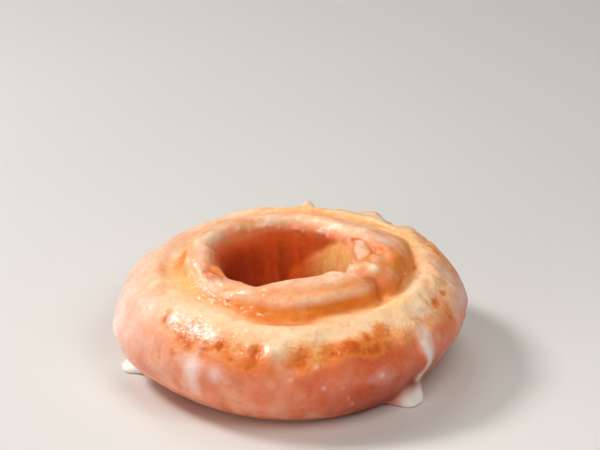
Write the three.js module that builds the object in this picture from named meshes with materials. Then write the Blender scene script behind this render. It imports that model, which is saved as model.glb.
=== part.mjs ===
// A glazed ring doughnut of the cracked, old-fashioned kind: one solid of fried cake dough.
// A raised collar stands round the hole, a valley runs round the collar, and the outer ring
// rises behind it to a broken, craggy edge before it falls down a smooth, round side.
//
// Millimetres, +Z up. The origin is on the table, under the middle of the doughnut's box.
// Azimuths are in degrees, 0 at +X and 90 at +Y. A viewer at -Y sees it as it was served.
//
// The form is a closed section, drawn through named stations, that changes as it goes round.
// A place on the surface is an azimuth and a station number, which may have a fraction.

import * as THREE from "three";
import { ParametricGeometry } from "three/addons/geometries/ParametricGeometry.js";
import { mergeVertices } from "three/addons/utils/BufferGeometryUtils.js";

// Driving dimensions
const OUTER_RADIUS = 44.8; // at the belly, where the doughnut is widest
const HOLE_RADIUS = 14; // at the waist of the hole, its narrowest
const COLLAR_RADIUS = 19.6; // top of the collar
const COLLAR_HEIGHT = 30.4;
const VALLEY_RADIUS = 30.2; // bottom of the valley between collar and ring
const VALLEY_HEIGHT = 24;
const BASE_INNER_RADIUS = 21.5; // the flat ring that it rests on
const BASE_OUTER_RADIUS = 34.6;
const BASE_SUNK = 0.7; // the section dips this far under the table, which cuts it flat
const AZIMUTH_STEPS = 120;

// One station of the section: where it lies, and how many facets lead to the next one.
// radii and heights are the lumps that move it as the section goes round.
const station = (name, radius, height, facets, radii = [], heights = []) => ({
  name,
  radius,
  height,
  facets,
  radii,
  heights,
});

// A lump: its azimuth, its half-width in degrees, and its size.
const lump = (at, wide, by) => ({ at, wide, by });

// The section runs up the hole, over the collar and the ring, and down the outside.
const STATIONS = [
  station("base_inner", BASE_INNER_RADIUS, -BASE_SUNK, 2),
  station("hole_low", HOLE_RADIUS + 2.2, 4, 2),
  station("hole_waist", HOLE_RADIUS, 12, 2, [lump(90, 60, 1)]),
  station("hole_high", HOLE_RADIUS + 0.4, 20.5, 2, [
    lump(90, 60, 1.5),
    lump(170, 30, 2),
    lump(214, 14, 1.5),
  ]),
  station(
    "lip",
    COLLAR_RADIUS - 3.4,
    COLLAR_HEIGHT - 3,
    3,
    [
      lump(170, 30, 3),
      lump(213, 21, 4.4),
      lump(90, 45, 2.5),
      lump(325, 14, 1.6),
    ],
    [
      lump(240, 20, -2.8),
      lump(190, 22, -1),
      lump(270, 40, -0.6),
      lump(90, 50, -0.4),
      lump(227, 9, -0.8),
    ],
  ),
  station(
    "crest",
    COLLAR_RADIUS,
    COLLAR_HEIGHT,
    3,
    [
      lump(170, 30, 2),
      lump(214, 20, 3),
      lump(90, 45, 1.8),
      lump(340, 25, 1.5),
    ],
    [
      lump(240, 20, -2.8),
      lump(190, 22, -1.2),
      lump(90, 50, -0.9),
      lump(270, 40, -0.6),
      lump(227, 9, -0.8),
    ],
  ),
  station(
    "ridge",
    COLLAR_RADIUS + 5,
    COLLAR_HEIGHT - 1.2,
    3,
    [
      lump(150, 30, 1),
      lump(350, 35, 2.6),
      lump(270, 30, 0.5),
      lump(60, 40, 0.6),
      lump(216, 16, 0.8),
    ],
    [lump(218, 24, -2.6), lump(90, 50, -1.4), lump(320, 25, 0.3)],
  ),
  station(
    "foot",
    VALLEY_RADIUS - 2.6,
    VALLEY_HEIGHT + 1.6,
    2,
    [lump(350, 35, 2.4), lump(40, 30, 2.6), lump(266, 18, 2.2)],
    [lump(5, 32, 1.2)],
  ),
  station(
    "valley",
    VALLEY_RADIUS,
    VALLEY_HEIGHT,
    2,
    [lump(350, 35, 2), lump(40, 30, 2.6), lump(266, 18, 2.6)],
    [lump(215, 25, 0.8), lump(5, 32, 1.8)],
  ),
  station(
    "crown",
    VALLEY_RADIUS + 4.2,
    VALLEY_HEIGHT + 0.6,
    4,
    [lump(10, 40, 1.5), lump(266, 18, 1.4)],
    [
      lump(10, 35, 1),
      lump(85, 45, 1.2),
      lump(45, 25, 0.4),
      lump(180, 40, 0.3),
    ],
  ),
  station(
    "shoulder",
    OUTER_RADIUS - 5,
    VALLEY_HEIGHT - 2.4,
    4,
    [lump(45, 25, 1.2), lump(150, 22, -0.7), lump(168, 16, 0.5)],
    [
      lump(85, 50, 1.3),
      lump(10, 35, 1.5),
      lump(45, 25, 0.7),
      lump(65, 12, 0.5),
      lump(25, 16, 0.6),
      lump(168, 16, 0.2),
    ],
  ),
  station(
    "belly_high",
    OUTER_RADIUS - 1,
    16.8,
    2,
    [lump(45, 25, 0.8)],
    [lump(10, 40, 1.5), lump(190, 40, -1)],
  ),
  station(
    "belly",
    OUTER_RADIUS,
    11.8,
    3,
    [lump(190, 35, 0.5)],
    [lump(0, 40, 2), lump(190, 40, -1.6)],
  ),
  station(
    "flank",
    OUTER_RADIUS - 3.2,
    4.6,
    4,
    [lump(350, 45, -1.6), lump(225, 20, -0.6), lump(190, 30, 1)],
    [lump(0, 40, 1)],
  ),
  station("base_outer", BASE_OUTER_RADIUS, -BASE_SUNK, 1, [
    lump(340, 35, -1.2),
    lump(225, 25, -0.9),
  ]),
];
const stationNumber = Object.fromEntries(STATIONS.map((s, k) => [s.name, k]));

// Glaze that ran down the side and set on the table in a foot
const FEET = [
  { at: 317.5, wide: 6.5, atBase: 7.8, atFlank: -0.4, lift: 0.2 },
  { at: 191, wide: 6.5, atBase: 8.5, atFlank: -2, lift: -1 },
];

// The glaze's thicker runs on the side: where each starts and ends, and how thick it is.
// A bent run swings out by bend degrees a station away from its middle.
const RUN_MIDDLE = 11.2;
const RUNS = [
  { at: 317, bend: 1, wide: 2.5, from: 9.6, to: 14.2, thick: 0.7 },
  { at: 191, bend: 0, wide: 4, from: 11.2, to: 14.2, thick: 0.5 },
  { at: 238, bend: 0, wide: 3.6, from: 10.8, to: 12.9, thick: 0.3 },
];

// Seams between the collar's lobes. slant is in degrees for each station, and bow is how far
// the seam swings out halfway down the collar's outer face.
const BOW_MIDDLE = 6.8;
const BOW_TALL = 1.1;
const SEAMS = [
  { at: 312, slant: 0, bow: 9, wide: 4, deep: 1.9, from: 3.8, to: 7.8 },
  { at: 352, slant: -17, bow: 0, wide: 4, deep: 0.8, from: 4.3, to: 6.1 },
  { at: 172, slant: 3, bow: 0, wide: 4.5, deep: 1.5, from: 3.8, to: 7.4 },
  { at: 243, slant: 9, bow: 0, wide: 6, deep: 0.6, from: 3.6, to: 7.8 },
];

// Single knobs (by > 0) and pits (by < 0) in the crust
const KNOBS = [
  { at: 83, on: 9.9, wide: 2.2, tall: 0.5, by: 1.7 }, // peak on the far rim
  { at: 76, on: 9.9, wide: 3, tall: 0.5, by: -0.6 },
  { at: 45, on: 10, wide: 3.2, tall: 0.9, by: -1.6 }, // notch beside it
  { at: 53, on: 10, wide: 5, tall: 0.7, by: 0.5 },
  { at: 355, on: 4.35, wide: 18, tall: 0.45, by: 0.9 }, // knuckle in the lip
  { at: 355, on: 4.95, wide: 20, tall: 0.25, by: -0.4 },
  { at: 350, on: 6, wide: 22, tall: 0.7, by: 0.5 },
  { at: 352, on: 9.9, wide: 6, tall: 0.35, by: -0.7 },
  { at: 255, on: 5.7, wide: 8, tall: 0.35, by: 0.6 },
  { at: 215, on: 4.6, wide: 5, tall: 0.4, by: 0.7 },
  { at: 225, on: 4.5, wide: 4, tall: 0.5, by: -0.6 },
  { at: 275, on: 6.9, wide: 10, tall: 0.5, by: -0.3 },
];

// The broken edge of the crust runs near this station, and wanders with the lumps.
// It is calmer at the back left, the front left and the right.
const EDGE = {
  on: 10.5,
  tall: 0.6,
  calm: [lump(145, 40, 0.6), lump(222, 12, 0.6), lump(0, 32, 0.75)],
  lumps: [
    lump(0, 40, -0.75),
    lump(180, 45, -0.7),
    lump(90, 50, -0.8),
    lump(215, 25, -0.25),
  ],
};

// Angles and bell curves
const wrapDegrees = (d) => ((((d + 180) % 360) + 360) % 360) - 180;
const bell = (x, wide) => Math.exp(-((x / wide) ** 2));
const plateau = (x, wide) => Math.exp(-((x / wide) ** 4));
const smooth = (x) => {
  const c = Math.min(Math.max(x, 0), 1);
  return c * c * (3 - 2 * c);
};
const swell = (azimuth, lumps) =>
  lumps.reduce((sum, l) => sum + l.by * bell(wrapDegrees(azimuth - l.at), l.wide), 0);

// A fixed pseudo-random value from -1 to 1 for each point of a lattice
function latticeValue(i, j, seed) {
  const x = Math.sin(i * 127.1 + j * 311.7 + seed * 74.7) * 43758.5453;
  return 2 * (x - Math.floor(x)) - 1;
}

// Smooth noise that closes on itself after one turn, with `around` cells to a turn
function noise(azimuth, on, around, perStation, seed) {
  const u = (azimuth / 360) * around;
  const v = on * perStation;
  const i = Math.floor(u);
  const j = Math.floor(v);
  const across = smooth(u - i);
  const row = (n) =>
    latticeValue(i % around, n, seed) * (1 - across) +
    latticeValue((i + 1) % around, n, seed) * across;
  const along = smooth(v - j);
  return row(j) * (1 - along) + row(j + 1) * along;
}

// The crags along the broken edge, with the crust standing a little proud outside it
function crags(azimuth, on) {
  const line = EDGE.on + swell(azimuth, EDGE.lumps);
  const rough = 0.9 * noise(azimuth, on, 56, 1.3, 3) - 0.15;
  const rim = 0.2 * bell(on - line - 0.75, 0.45);
  const calm = 1 - swell(azimuth, EDGE.calm);
  return calm * (rough * bell(on - line, EDGE.tall) + rim);
}

// A seam is a groove whose banks roll over into it
function seam(azimuth, on, s) {
  const slanted = s.at + s.slant * (on - stationNumber.crest);
  const path = slanted + s.bow * bell(on - BOW_MIDDLE, BOW_TALL);
  const off = wrapDegrees(azimuth - path);
  const within = smooth((on - s.from) / 0.7) * smooth((s.to - on) / 0.9);
  const groove = bell(off, s.wide);
  const banks = bell(Math.abs(off) - 2.6 * s.wide, 1.6 * s.wide);
  return s.deep * within * (0.35 * banks - groove);
}

function run(azimuth, on, r) {
  const within = smooth((on - r.from) / 0.6) * smooth((r.to - on) / 0.6);
  const path = r.at + r.bend * (on - RUN_MIDDLE) ** 2;
  return r.thick * within * plateau(wrapDegrees(azimuth - path), r.wide);
}

// How far the surface stands out from the plain section, along its normal
function relief(azimuth, on) {
  const uneven =
    0.45 * noise(azimuth, on, 14, 0.55, 1) + 0.25 * noise(azimuth, on, 31, 1.1, 2);
  const knobs = KNOBS.reduce(
    (sum, k) =>
      sum + k.by * bell(wrapDegrees(azimuth - k.at), k.wide) * bell(on - k.on, k.tall),
    0,
  );
  const seams = SEAMS.reduce((sum, s) => sum + seam(azimuth, on, s), 0);
  const runs = RUNS.reduce((sum, r) => sum + run(azimuth, on, r), 0);
  // A crease parts the collar's front lobe into an upper and a lower ridge
  const front = bell(wrapDegrees(azimuth - 286), 24);
  const crease = front * (0.4 * bell(on - 6.5, 0.28) - 0.75 * bell(on - 6.02, 0.27));
  // The base stays plain, so that it rests flat
  const offBase = smooth(on - 0.6) * smooth((14.2 - on) / 1.2);
  return offBase * (uneven + crags(azimuth, on) + knobs + seams + runs + crease);
}

// The plain section at an azimuth, as a closed curve of radius (x) and height (z)
function section(azimuth) {
  const points = STATIONS.map(
    (s) =>
      new THREE.Vector3(
        s.radius + swell(azimuth, s.radii),
        0,
        s.height + swell(azimuth, s.heights),
      ),
  );
  for (const f of FEET) {
    const here = plateau(wrapDegrees(azimuth - f.at), f.wide);
    points[stationNumber.base_outer].x += f.atBase * here;
    points[stationNumber.flank].x += f.atFlank * here;
    points[stationNumber.flank].z += f.lift * here;
  }
  return new THREE.CatmullRomCurve3(points, true, "catmullrom", 0.5);
}

// The point of the surface at an azimuth and a station, cut flat by the table
function surfacePoint(curve, azimuth, on, target) {
  const place = on / STATIONS.length;
  const normalStep = 1e-4;
  const point = curve.getPoint(place);
  const ahead = curve.getPoint(place + normalStep);
  const tangent = ahead.sub(point).normalize();
  const out = relief(azimuth, on);
  const radius = point.x - tangent.z * out;
  const height = Math.max(point.z + tangent.x * out, 0);
  const turn = THREE.MathUtils.degToRad(azimuth);
  return target.set(radius * Math.cos(turn), radius * Math.sin(turn), height);
}

function doughnutGeometry() {
  const places = STATIONS.flatMap((s, k) =>
    Array.from({ length: s.facets }, (_, i) => k + i / s.facets),
  );
  const sections = Array.from({ length: AZIMUTH_STEPS }, (_, i) =>
    section((360 * i) / AZIMUTH_STEPS),
  );
  // v runs back along the section, so that the faces look outwards
  const surface = (u, v, target) => {
    const turn = Math.round(u * AZIMUTH_STEPS) % AZIMUTH_STEPS;
    const place = Math.round((1 - v) * places.length) % places.length;
    surfacePoint(sections[turn], (360 * turn) / AZIMUTH_STEPS, places[place], target);
  };
  const grid = new ParametricGeometry(surface, AZIMUTH_STEPS, places.length);
  grid.deleteAttribute("normal");
  grid.deleteAttribute("uv");
  const closed = mergeVertices(grid);
  // The origin goes under the middle of the box
  closed.computeBoundingBox();
  const middle = closed.boundingBox.getCenter(new THREE.Vector3());
  closed.translate(-middle.x, -middle.y, 0);
  closed.computeVertexNormals();
  return closed;
}

const glazedDough = new THREE.MeshStandardMaterial({
  color: 0xd98f5c,
  roughness: 0.3,
  metalness: 0,
});

function doughnut() {
  const mesh = new THREE.Mesh(doughnutGeometry(), glazedDough);
  mesh.name = "doughnut";
  return mesh;
}

const part = new THREE.Group();
part.name = "ring_doughnut";
part.add(doughnut());

export default part;
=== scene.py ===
"""A glazed ring doughnut: the dressed part, the studio and the camera.

The skin follows the same closed section as the solid, at a finer step, and adds low relief:
crumb, wrinkles, creases, fine cracks and drops of glaze. A place on the skin is an azimuth in
degrees (0 at +X, 90 at +Y) and a station number along the section, which may have a fraction.
The form is worked out in millimetres and put into Blender in metres.
"""

import math

import bpy
import numpy as np
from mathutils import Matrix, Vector


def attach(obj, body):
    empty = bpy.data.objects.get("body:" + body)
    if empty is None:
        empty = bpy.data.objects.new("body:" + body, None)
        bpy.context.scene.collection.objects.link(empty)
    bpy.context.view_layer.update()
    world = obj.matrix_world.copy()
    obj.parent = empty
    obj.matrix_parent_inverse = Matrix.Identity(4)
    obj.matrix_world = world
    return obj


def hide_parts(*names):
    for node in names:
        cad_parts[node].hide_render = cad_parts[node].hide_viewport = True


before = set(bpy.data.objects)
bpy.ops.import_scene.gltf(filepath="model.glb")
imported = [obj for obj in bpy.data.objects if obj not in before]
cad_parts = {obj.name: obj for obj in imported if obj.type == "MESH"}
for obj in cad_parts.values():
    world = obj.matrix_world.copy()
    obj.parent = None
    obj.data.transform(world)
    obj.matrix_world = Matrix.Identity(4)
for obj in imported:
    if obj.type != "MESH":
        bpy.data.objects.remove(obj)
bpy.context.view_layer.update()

MM = 0.001

# The plain section. Each station: name, radius, height, and the lumps that move the radius
# and the height as it goes round. A lump is (azimuth, half-width in degrees, change in mm).
STATIONS = [
    ("base_inner", 21.5, -0.7, [], []),
    ("hole_low", 16.2, 4.0, [], []),
    ("hole_waist", 14.0, 12.0, [(90, 60, 1.0)], []),
    ("hole_high", 14.4, 20.5, [(90, 60, 1.5), (170, 30, 2.0), (214, 14, 1.5)], []),
    (
        "lip",
        16.2,
        27.4,
        [(170, 30, 3.0), (213, 21, 4.4), (90, 45, 2.5), (325, 14, 1.6)],
        [(240, 20, -2.8), (190, 22, -1.0), (270, 40, -0.6), (90, 50, -0.4), (227, 9, -0.8)],
    ),
    (
        "crest",
        19.6,
        30.4,
        [(170, 30, 2.0), (214, 20, 3.0), (90, 45, 1.8), (340, 25, 1.5)],
        [(240, 20, -2.8), (190, 22, -1.2), (90, 50, -0.9), (270, 40, -0.6), (227, 9, -0.8)],
    ),
    (
        "ridge",
        24.6,
        29.2,
        [(150, 30, 1.0), (350, 35, 2.6), (270, 30, 0.5), (60, 40, 0.6), (216, 16, 0.8)],
        [(218, 24, -2.6), (90, 50, -1.4), (320, 25, 0.3)],
    ),
    ("foot", 27.6, 25.6, [(350, 35, 2.4), (40, 30, 2.6), (266, 18, 2.2)], [(5, 32, 1.2)]),
    (
        "valley",
        30.2,
        24.0,
        [(350, 35, 2.0), (40, 30, 2.6), (266, 18, 2.6)],
        [(215, 25, 0.8), (5, 32, 1.8)],
    ),
    (
        "crown",
        34.4,
        24.6,
        [(10, 40, 1.5), (266, 18, 1.4)],
        [(10, 35, 1.0), (85, 45, 1.2), (45, 25, 0.4), (180, 40, 0.3)],
    ),
    (
        "shoulder",
        39.8,
        21.6,
        [(45, 25, 1.2), (150, 22, -0.7), (168, 16, 0.5)],
        [(85, 50, 1.3), (10, 35, 1.5), (45, 25, 0.7), (65, 12, 0.5), (25, 16, 0.6), (168, 16, 0.2)],
    ),
    ("belly_high", 43.8, 16.8, [(45, 25, 0.8)], [(10, 40, 1.5), (190, 40, -1.0)]),
    ("belly", 44.8, 11.8, [(190, 35, 0.5)], [(0, 40, 2.0), (190, 40, -1.6)]),
    ("flank", 41.6, 4.6, [(350, 45, -1.6), (225, 20, -0.6), (190, 30, 1.0)], [(0, 40, 1.0)]),
    ("base_outer", 34.6, -0.7, [(340, 35, -1.2), (225, 25, -0.9)], []),
]
NUMBER = {s[0]: k for k, s in enumerate(STATIONS)}
COUNT = len(STATIONS)
SECTION_RADII = np.array([s[1] for s in STATIONS])
SECTION_HEIGHTS = np.array([s[2] for s in STATIONS])
SECTION_STEPS = np.hypot(np.diff(SECTION_RADII), np.diff(SECTION_HEIGHTS))
SECTION_LENGTHS = np.concatenate([[0.0], np.cumsum(SECTION_STEPS)])

# Glaze set in a foot: azimuth, half-width, reach at the base and at the flank, lift of the flank
FEET = [(317.5, 6.5, 7.8, -0.4, 0.2), (191.0, 6.5, 8.5, -2.0, -1.0)]

# Thick runs of glaze: azimuth, bend, half-width, first and last station, thickness
RUNS = [
    (317.0, 1.0, 2.5, 9.6, 14.2, 0.7),
    (191.0, 0.0, 4.0, 11.2, 14.2, 0.5),
    (238.0, 0.0, 3.6, 10.8, 12.9, 0.3),
]

# How softly a run starts and ends, and the station that it bends away from
RUN_FADE = 0.6
RUN_BEND_STATION = 11.2

# Seams of the collar: azimuth at the crest, slant per station, bow, half-width, depth, first, last
SEAMS = [
    (312.0, 0.0, 9.0, 4.0, 1.9, 3.8, 7.8),
    (352.0, -17.0, 0.0, 4.0, 0.8, 4.3, 6.1),
    (172.0, 3.0, 0.0, 4.5, 1.5, 3.8, 7.4),
    (243.0, 9.0, 0.0, 6.0, 0.6, 3.6, 7.8),
]

# Where a seam bows most and over how many stations, and how softly it starts and ends
SEAM_BOW_STATION = 6.8
SEAM_BOW_SPREAD = 1.1
SEAM_RISE = 0.7
SEAM_FALL = 0.9

# The bank on each side of a seam: height as a share of the depth, place and spread in half-widths
SEAM_BANK_HEIGHT = 0.35
SEAM_BANK_PLACE = 2.6
SEAM_BANK_SPREAD = 1.6

# Knobs and pits: azimuth, station, half-width in degrees and in stations, height. The last two
# are the front lobe's lower ridge and the groove above it.
KNOBS = [
    (83, 9.9, 2.2, 0.5, 1.7),
    (76, 9.9, 3.0, 0.5, -0.6),
    (45, 10.0, 3.2, 0.9, -1.6),
    (53, 10.0, 5.0, 0.7, 0.5),
    (355, 4.35, 18.0, 0.45, 0.9),
    (355, 4.95, 20.0, 0.25, -0.4),
    (350, 6.0, 22.0, 0.7, 0.5),
    (352, 9.9, 6.0, 0.35, -0.7),
    (255, 5.7, 8.0, 0.35, 0.6),
    (215, 4.6, 5.0, 0.4, 0.7),
    (225, 4.5, 4.0, 0.5, -0.6),
    (275, 6.9, 10.0, 0.5, -0.3),
    (286, 6.5, 24.0, 0.28, 0.4),
    (286, 6.02, 24.0, 0.27, -0.75),
]

# The broken edge of the crust: its line, and where it is calm
EDGE_STATION = 10.5
EDGE_LUMPS = [(0, 40, -0.75), (180, 45, -0.7), (90, 50, -0.8), (215, 25, -0.25)]
EDGE_CALM = [(145, 40, 0.6), (222, 12, 0.6), (0, 32, 0.75)]

# How deep its crags are sunk and how far they reach, and the low bank outside them
CRAG_SINK = 0.15
CRAG_BAND = 0.6
BANK_HEIGHT = 0.2
BANK_OFFSET = 0.75
BANK_BAND = 0.45

# Small knobs and pits that only the skin has, in the same form as KNOBS
SMALL_KNOBS = [
    (255.7, 10.24, 1.3, 0.25, 0.35),
    (263.2, 10.4, 2.0, 0.45, 0.65),
    (266.6, 10.02, 2.0, 0.3, 0.55),
    (258.8, 10.4, 1.5, 0.45, -0.25),
    (272.5, 10.5, 2.2, 0.4, -0.15),
    (278.0, 10.5, 1.6, 0.45, 0.25),
    (239.0, 10.1, 2.0, 0.3, 0.35),
    (230.0, 9.7, 1.8, 0.25, 0.3),
    (222.0, 9.8, 1.8, 0.25, 0.3),
    (224.0, 11.3, 1.3, 0.35, -0.3),
    (230.0, 11.3, 1.3, 0.35, -0.3),
    (323.0, 5.8, 3.6, 0.26, 0.7),
    (330.0, 6.3, 3.0, 0.2, 0.25),
    (354.0, 4.35, 20.0, 0.35, 0.4),
    (335.0, 9.86, 2.4, 0.3, -0.25),
    (342.0, 9.92, 1.4, 0.25, -0.2),
    (353.0, 7.6, 2.6, 0.25, -0.4),
    (344.0, 11.24, 1.6, 0.25, -0.35),
    (336.0, 10.76, 1.4, 0.3, -0.35),
    (84.0, 4.0, 4.0, 0.16, 0.4),
    (62.0, 4.0, 4.5, 0.16, 0.35),
    (114.0, 4.1, 3.5, 0.16, 0.25),
    (126.0, 4.1, 3.5, 0.16, 0.2),
    (222.0, 7.9, 1.8, 0.2, 0.3),
    (230.0, 7.9, 1.8, 0.2, 0.3),
    (188.0, 6.4, 5.0, 0.25, 0.4),
    (200.0, 5.4, 5.0, 0.2, 0.35),
    (327.0, 10.1, 7.0, 0.45, 0.5),
    (347.0, 10.2, 8.0, 0.4, 0.3),
    (255.4, 10.12, 1.4, 0.18, 0.4),
]

# Fine cracks: azimuth and station of both ends, then bow, half-width and depth in mm
CRACKS = [
    (318, 5.8, 318, 7.7, -1.8, 0.3, 0.3),
    (26, 4.25, 322, 4.75, -2.1, 0.4, 0.5),
    (26, 4.25, 322, 4.75, 1.8, 0.4, 0.4),
    (2, 4.75, 353, 5.3, 0.5, 0.4, 0.45),
    (354, 4.95, 341, 5.3, 0.4, 0.4, 0.4),
    (353, 5.3, 341, 5.3, -0.5, 0.35, 0.35),
    (334, 5.1, 328, 5.5, 0.3, 0.35, 0.3),
    (349, 6.2, 344, 7.1, 0.2, 0.4, 0.4),
    (340, 6.6, 334, 7.2, 0.2, 0.35, 0.3),
    (222, 5.2, 206, 5.8, 0.4, 0.45, 0.4),
    (236, 6.0, 226, 6.6, 0.2, 0.4, 0.3),
]

# Where cracks meet, they are no deeper than this, in mm
DEEPEST_CRACK = 0.6

# Drops and blisters of set glaze: azimuth, station, half-width in degrees and in stations, strength
DROPS = [
    (270.0, 11.36, 0.75, 0.12, 0.5),
    (278.0, 10.82, 0.75, 0.12, 0.5),
    (280.0, 11.86, 0.75, 0.12, 0.5),
    (286.0, 10.36, 0.75, 0.12, 0.5),
    (286.0, 11.98, 0.75, 0.12, 0.5),
    (288.0, 12.4, 0.75, 0.12, 0.5),
    (290.0, 12.7, 0.75, 0.12, 0.5),
    (299.0, 11.7, 0.75, 0.12, 0.5),
    (198.0, 6.0, 3.0, 0.16, 0.9),
    (205.0, 5.9, 2.0, 0.12, 0.7),
    (212.0, 6.1, 2.6, 0.16, 1.0),
    (219.0, 6.6, 2.2, 0.14, 0.9),
    (225.0, 7.0, 2.4, 0.15, 1.0),
    (222.0, 7.9, 2.0, 0.14, 0.7),
    (230.0, 7.6, 2.6, 0.16, 1.0),
    (229.0, 7.1, 1.8, 0.12, 0.8),
    (236.0, 6.8, 2.0, 0.14, 0.8),
    (239.0, 7.4, 1.6, 0.12, 0.7),
    (245.0, 6.3, 3.4, 0.18, 0.8),
    (256.0, 7.3, 1.8, 0.12, 0.7),
    (119.0, 4.2, 2.6, 0.1, 0.5),
    (112.0, 4.22, 2.0, 0.1, 0.5),
    (106.0, 4.16, 3.0, 0.1, 0.5),
    (99.0, 4.02, 1.8, 0.1, 0.6),
    (87.0, 3.96, 4.2, 0.1, 0.7),
    (80.0, 3.86, 1.8, 0.12, 0.5),
    (65.0, 3.92, 4.4, 0.1, 0.7),
    (57.0, 3.86, 1.8, 0.1, 0.5),
]

# Height of a drop of strength 1, in mm
DROP_HEIGHT = 0.5

# Noise in layers: height in mm, cells to a turn, cells to a station and seed
UNEVENNESS = [(0.45, 14, 0.55, 1), (0.25, 31, 1.1, 2)]
CRAGS = [(0.9, 56, 1.3, 3)]
CRUMB = [(0.22, 110, 2.6, 4), (0.12, 200, 6.0, 7)]
BEADS = [(0.05, 150, 5.5, 8), (0.07, 70, 2.8, 9)]
WET_GRAINS = [(0.14, 240, 9.5, 10)]

# How far crumb lies from the broken edge, and how much less of it there is where the edge is calm
CRUMB_BAND = 0.7
CRUMB_CALM = 0.5

# The patch of wet and grainy glaze, in the same form as KNOBS
WET_PATCH = [(233, 9.83, 10, 0.45, 1.0)]

# A stretch of the section is its first station, rise, last station and fall. This one is the body
# without the underside, which stays flat.
BODY_STRETCH = (0.6, 1.0, 14.2, 1.2)

# Fine folds over the right of the ring, down its side, and over the left: azimuth, half-width,
# stretch, noise (cells to a turn, cells to a station, seed) and height
WRINKLES = [
    (2, 28, (7.9, 0.8, 11.2, 0.8), (140, 0.6, 12), 0.55),
    (338, 26, (10.2, 0.8, 12.8, 1.0), (130, 0.5, 13), 0.14),
    (195, 12, (8.8, 0.6, 11.4, 0.8), (78, 0.5, 14), 0.22),
]

# How far the folds sway, in degrees, as a layer of noise
WRINKLE_SWAY = [(2.5, 20, 0.7, 11)]

# Thin creases, on the front lobe's end and round the foot of the right lobe: first azimuth, rise,
# length and fall in degrees, then station, slope and curve of the path, half-width in stations
# and depth in mm
CREASES = [
    (310, 3, 11, 3, 6.04, 0.0, 0.0081, 0.09, 0.5),
    (328, 6, 64, 12, 7.45, -0.03, 0.0, 0.16, 0.4),
]

# What makes a lattice's values look random
LATTICE_STEPS = (127.1, 311.7, 74.7)
LATTICE_SPREAD = 43758.5453

# Steps of the solid's own grid, which fixes where the part's middle is
SOLID_AZIMUTHS = 120
SOLID_FACETS = [2, 2, 2, 2, 3, 3, 3, 2, 2, 4, 4, 2, 3, 4, 1]

# Steps of the skin
SKIN_AZIMUTHS = 480
SKIN_BANDS = [(0.0, 3.2, 34), (3.2, 11.6, 136), (11.6, 15.0, 38)]


def wrap(degrees):
    """The same angle, from -180 up to 180 degrees."""
    return (degrees + 180.0) % 360.0 - 180.0


def bell(x, wide):
    return np.exp(-((x / wide) ** 2))


def plateau(x, wide):
    return np.exp(-((x / wide) ** 4))


def smooth(x):
    x = np.clip(x, 0.0, 1.0)
    return x * x * (3.0 - 2.0 * x)


def between(x, first, rise, last, fall):
    """1 between two values and 0 beyond them, with a soft rise and a soft fall inside them."""
    return smooth((x - first) / rise) * smooth((last - x) / fall)


def swell(azimuth, lumps):
    """Lumps round the ring, added up."""
    total = np.zeros_like(azimuth, dtype=float)
    for at, wide, by in lumps:
        total = total + by * bell(wrap(azimuth - at), wide)
    return total


def spots(azimuth, on, rows):
    """Soft round spots, added up."""
    total = np.zeros_like(azimuth)
    for at, station, wide, tall, by in rows:
        total = total + by * bell(wrap(azimuth - at), wide) * bell(on - station, tall)
    return total


def lattice_value(i, j, seed):
    """A fixed pseudo-random value from -1 to 1 for each point of a lattice."""
    a, b, c = LATTICE_STEPS
    x = np.sin(i * a + j * b + seed * c) * LATTICE_SPREAD
    return 2.0 * (x - np.floor(x)) - 1.0


def noise(azimuth, on, around, per_station, seed):
    """Smooth noise that closes after one turn, with `around` cells to a turn."""
    u = (azimuth % 360.0) / 360.0 * around
    v = on * per_station
    i = np.floor(u)
    j = np.floor(v)
    across = smooth(u - i)
    along = smooth(v - j)
    near = i % around
    far = (i + 1) % around
    low, high = (
        lattice_value(near, row, seed) * (1 - across) + lattice_value(far, row, seed) * across
        for row in (j, j + 1)
    )
    return low * (1 - along) + high * along


def layers(azimuth, on, rows):
    """Noise of several sizes, one on top of another."""
    total = np.zeros_like(azimuth)
    for high, around, per_station, seed in rows:
        total = total + high * noise(azimuth, on, around, per_station, seed)
    return total


def edge_line(azimuth):
    return EDGE_STATION + swell(azimuth, EDGE_LUMPS)


def crags(azimuth, on):
    """Height of the broken edge's crags and bank, in mm."""
    from_line = on - edge_line(azimuth)
    calm = 1.0 - swell(azimuth, EDGE_CALM)
    rough = layers(azimuth, on, CRAGS) - CRAG_SINK
    bank = BANK_HEIGHT * bell(from_line - BANK_OFFSET, BANK_BAND)
    return calm * (rough * bell(from_line, CRAG_BAND) + bank)


def seam(azimuth, on, at, slant, bow, wide, deep, first, last):
    bowed = bow * bell(on - SEAM_BOW_STATION, SEAM_BOW_SPREAD)
    off = wrap(azimuth - (at + slant * (on - NUMBER["crest"]) + bowed))
    banks = bell(np.abs(off) - SEAM_BANK_PLACE * wide, SEAM_BANK_SPREAD * wide)
    shape = SEAM_BANK_HEIGHT * banks - bell(off, wide)
    return deep * between(on, first, SEAM_RISE, last, SEAM_FALL) * shape


def run(azimuth, on, at, bend, wide, first, last, thick):
    path = at + bend * (on - RUN_BEND_STATION) ** 2
    within = between(on, first, RUN_FADE, last, RUN_FADE)
    return thick * within * plateau(wrap(azimuth - path), wide)


def relief(azimuth, on):
    """The solid's own relief along the section's normal, in mm."""
    out = layers(azimuth, on, UNEVENNESS) + crags(azimuth, on) + spots(azimuth, on, KNOBS)
    for row in SEAMS:
        out = out + seam(azimuth, on, *row)
    for row in RUNS:
        out = out + run(azimuth, on, *row)
    return between(on, *BODY_STRETCH) * out


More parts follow.
